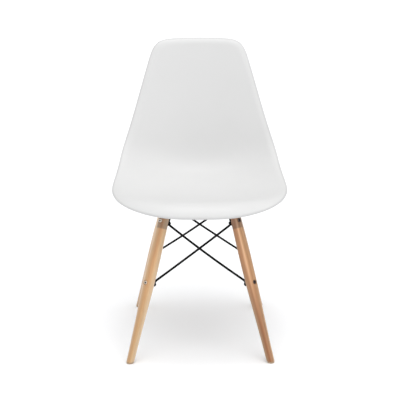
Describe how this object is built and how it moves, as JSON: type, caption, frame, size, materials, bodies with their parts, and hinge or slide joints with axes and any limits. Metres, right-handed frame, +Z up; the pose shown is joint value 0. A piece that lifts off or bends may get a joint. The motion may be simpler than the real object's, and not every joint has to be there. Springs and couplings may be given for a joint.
{
  "type": "dining chair",
  "caption": "Dining chair: a moulded plastic bucket shell, without arms, bolted to splayed turned wooden legs that crossed steel rods brace.",
  "frame": {"origin": "centre of the chair's plan extents, on the floor", "axes": "+Z up; the sitter faces -Y; +X to the right as seen from in front"},
  "size_m": [0.476, 0.5416, 0.8203],
  "materials": {
    "shell_plastic": "white moulded plastic with a soft satin sheen",
    "leg_wood": "clear-lacquered beech, grain along the leg",
    "black_steel": "black powder coat, semi-gloss",
    "zinc_steel": "bright zinc plating",
    "brass_insert": "plain brass",
    "rubber_spacer": "matt black rubber",
    "glide_plastic": "grey-brown nylon"
  },
  "bodies": {
    "root": {"seat_shell": "shell_plastic", "strap_upper": "black_steel", "strap_lower": "black_steel", "strap_rivet": "zinc_steel", "seat_insert_front_left": "brass_insert", "seat_spacer_front_left": "rubber_spacer", "seat_bolt_front_left": "zinc_steel", "leg_front_left": "leg_wood", "glide_front_left": "glide_plastic", "top_bolt_front_left": "zinc_steel", "top_nut_front_left": "black_steel", "mid_bolt_front_left": "zinc_steel", "mid_nut_front_left": "black_steel", "seat_insert_front_right": "brass_insert", "seat_spacer_front_right": "rubber_spacer", "seat_bolt_front_right": "zinc_steel", "leg_front_right": "leg_wood", "glide_front_right": "glide_plastic", "top_bolt_front_right": "zinc_steel", "top_nut_front_right": "black_steel", "mid_bolt_front_right": "zinc_steel", "mid_nut_front_right": "black_steel", "seat_insert_rear_left": "brass_insert", "seat_spacer_rear_left": "rubber_spacer", "seat_bolt_rear_left": "zinc_steel", "leg_rear_left": "leg_wood", "glide_rear_left": "glide_plastic", "top_bolt_rear_left": "zinc_steel", "top_nut_rear_left": "black_steel", "mid_bolt_rear_left": "zinc_steel", "mid_nut_rear_left": "black_steel", "seat_insert_rear_right": "brass_insert", "seat_spacer_rear_right": "rubber_spacer", "seat_bolt_rear_right": "zinc_steel", "leg_rear_right": "leg_wood", "glide_rear_right": "glide_plastic", "top_bolt_rear_right": "zinc_steel", "top_nut_rear_right": "black_steel", "mid_bolt_rear_right": "zinc_steel", "mid_nut_rear_right": "black_steel", "brace_front_outer": "black_steel", "brace_front_inner": "black_steel", "brace_rear_outer": "black_steel", "brace_rear_inner": "black_steel", "brace_left_outer": "black_steel", "brace_left_inner": "black_steel", "brace_right_outer": "black_steel", "brace_right_inner": "black_steel"}
  },
  "joints": []
}
